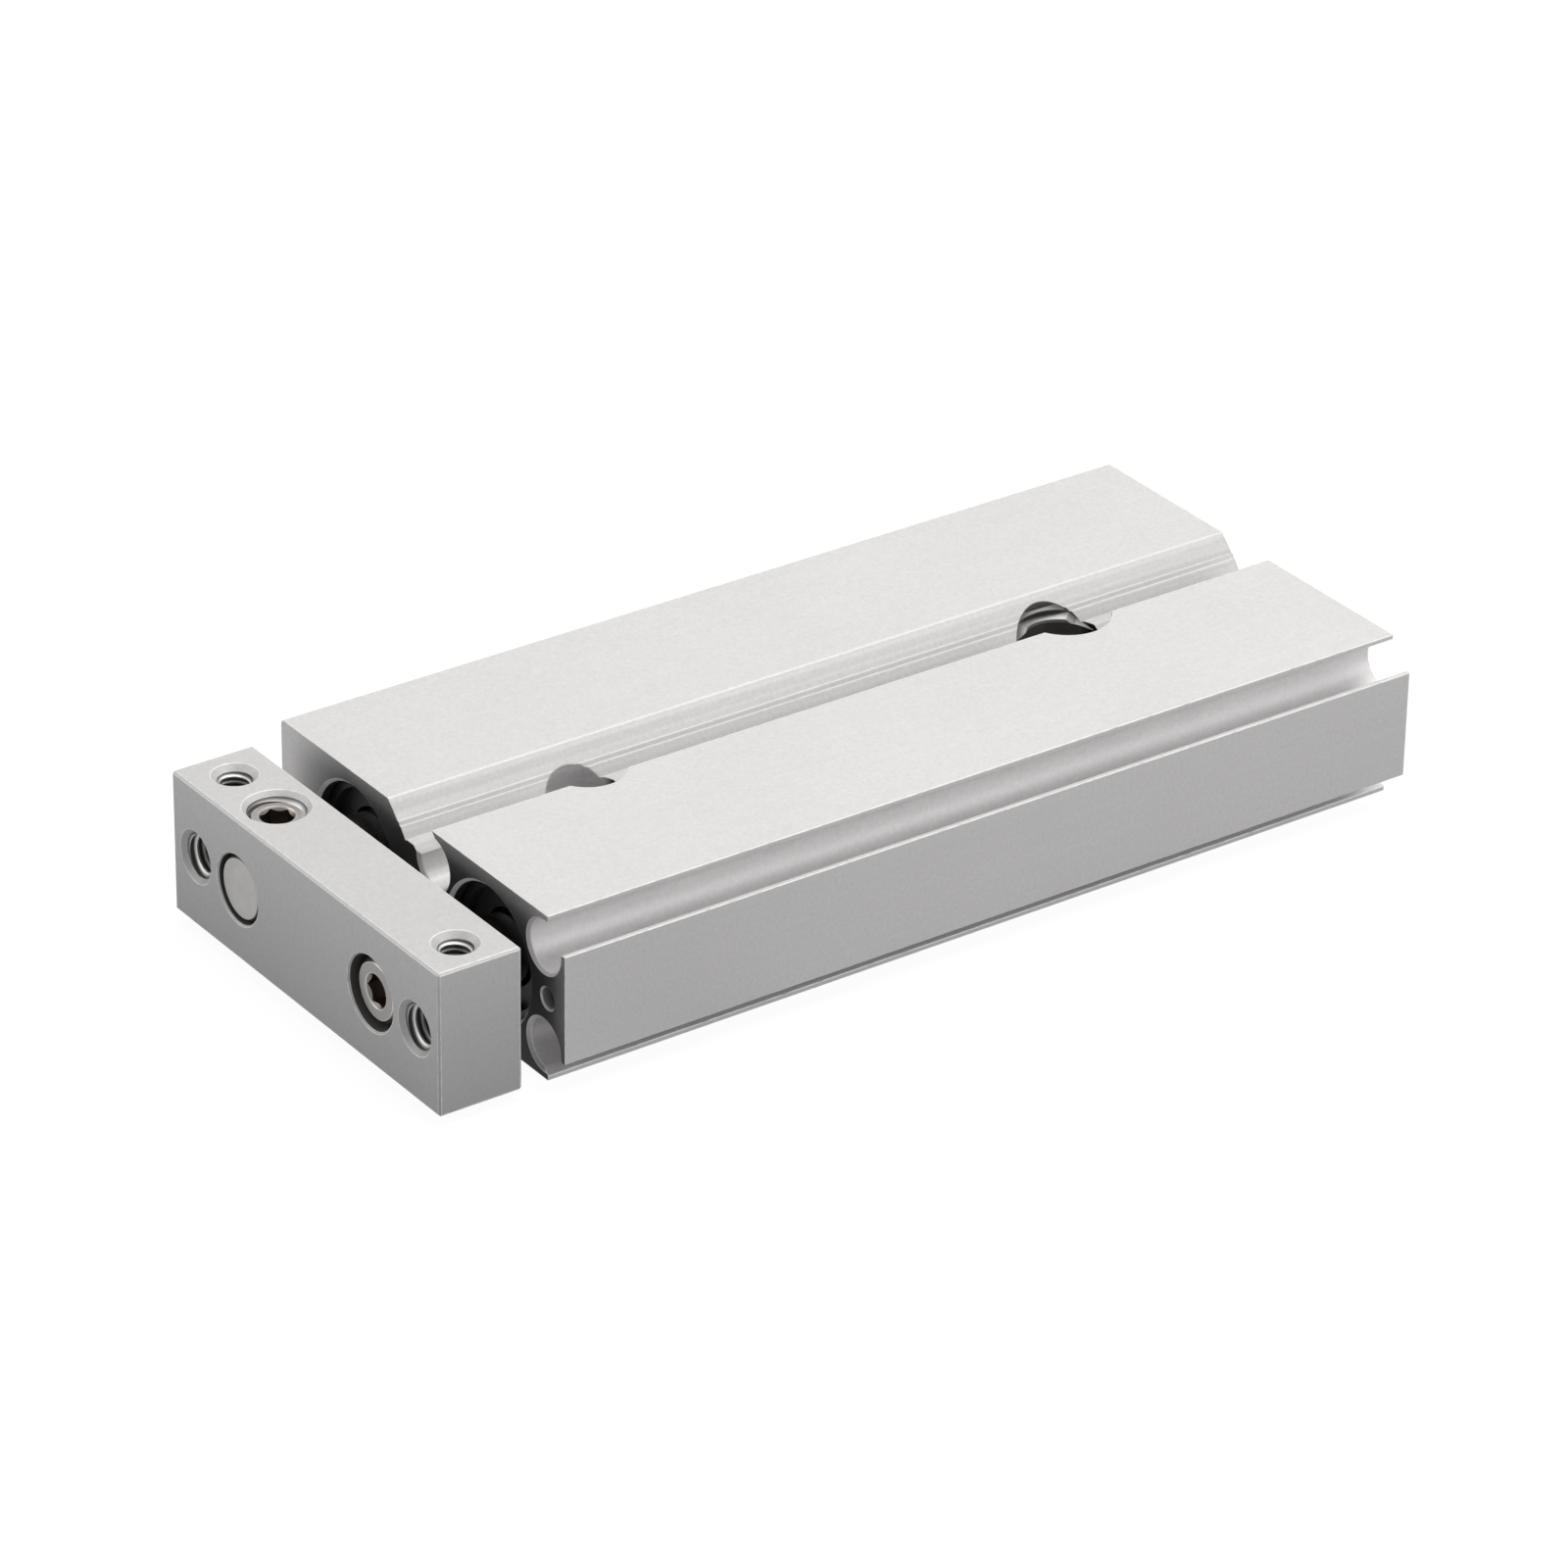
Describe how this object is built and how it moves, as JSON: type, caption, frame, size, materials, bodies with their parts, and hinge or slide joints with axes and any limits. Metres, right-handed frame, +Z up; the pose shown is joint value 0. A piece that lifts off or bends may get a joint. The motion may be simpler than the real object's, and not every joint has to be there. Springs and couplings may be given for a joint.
{
  "type": "twin rod pneumatic cylinder",
  "caption": "Flat twin-bore air cylinder whose two piston rods carry one end plate, with sensor grooves along the block.",
  "frame": {"origin": "midway between the block's two bolt holes, at mid-height, on the plane of both rod axes", "axes": "+X along the rods towards the end plate, which is the way they extend; +Y towards the side with the sensor grooves; +Z up out of the face with the channel and the tapped rear hole"},
  "size_m": [0.1002, 0.042, 0.015],
  "materials": {
    "anodised_aluminium": "satin clear anodised extrusion",
    "plate_aluminium": "satin clear anodised, machined edges",
    "ground_steel": "ground and polished",
    "stainless_screw": "turned stainless steel",
    "black_spring_steel": "blackened spring steel",
    "bearing_metal": "dark hard anodised",
    "piston_aluminium": "turned",
    "black_rubber": "matt",
    "bumper_urethane": "matt polyurethane",
    "wear_ring_plastic": "smooth",
    "magnet": "bonded magnet"
  },
  "bodies": {
    "block": {"housing": "anodised_aluminium", "rear_bumper_right": "bumper_urethane", "adjuster_lock_nut": "stainless_screw", "passage_ball": "ground_steel", "axial_port_plug": "stainless_screw", "rod_cover_left": "bearing_metal", "rod_cover_right": "bearing_metal", "rod_seal_left": "black_rubber", "rod_seal_right": "black_rubber", "seal_retainer_left": "black_spring_steel", "seal_retainer_right": "black_spring_steel", "rod_cover_o_ring_left": "black_rubber", "rod_cover_o_ring_right": "black_rubber", "front_retaining_ring_left": "black_spring_steel", "front_retaining_ring_right": "black_spring_steel", "front_bumper_left": "bumper_urethane", "front_bumper_right": "bumper_urethane", "head_cover_left": "anodised_aluminium", "head_cover_right": "anodised_aluminium", "head_cover_o_ring_left": "black_rubber", "head_cover_o_ring_right": "black_rubber", "rear_retaining_ring_left": "black_spring_steel", "rear_retaining_ring_right": "black_spring_steel"},
    "rods": {"rod_plate": "plate_aluminium", "plate_cap_screw": "stainless_screw", "plate_set_screw": "stainless_screw", "piston_magnet": "magnet", "piston_rod_left": "ground_steel", "piston_rod_right": "ground_steel", "piston_left": "piston_aluminium", "piston_right": "piston_aluminium", "piston_seal_left": "black_rubber", "piston_seal_right": "black_rubber", "wear_ring_left": "wear_ring_plastic", "wear_ring_right": "wear_ring_plastic"},
    "adjuster": {"adjusting_screw": "stainless_screw", "adjuster_bumper": "bumper_urethane"}
  },
  "joints": [
    {"name": "rod_slide", "type": "slide", "parent": "block", "child": "rods", "axis": [1, 0, 0], "range_m": [0, 0.03]},
    {"name": "adjuster_slide", "type": "slide", "parent": "block", "child": "adjuster", "axis": [1, 0, 0], "range_m": [-0.003, 0]}
  ]
}
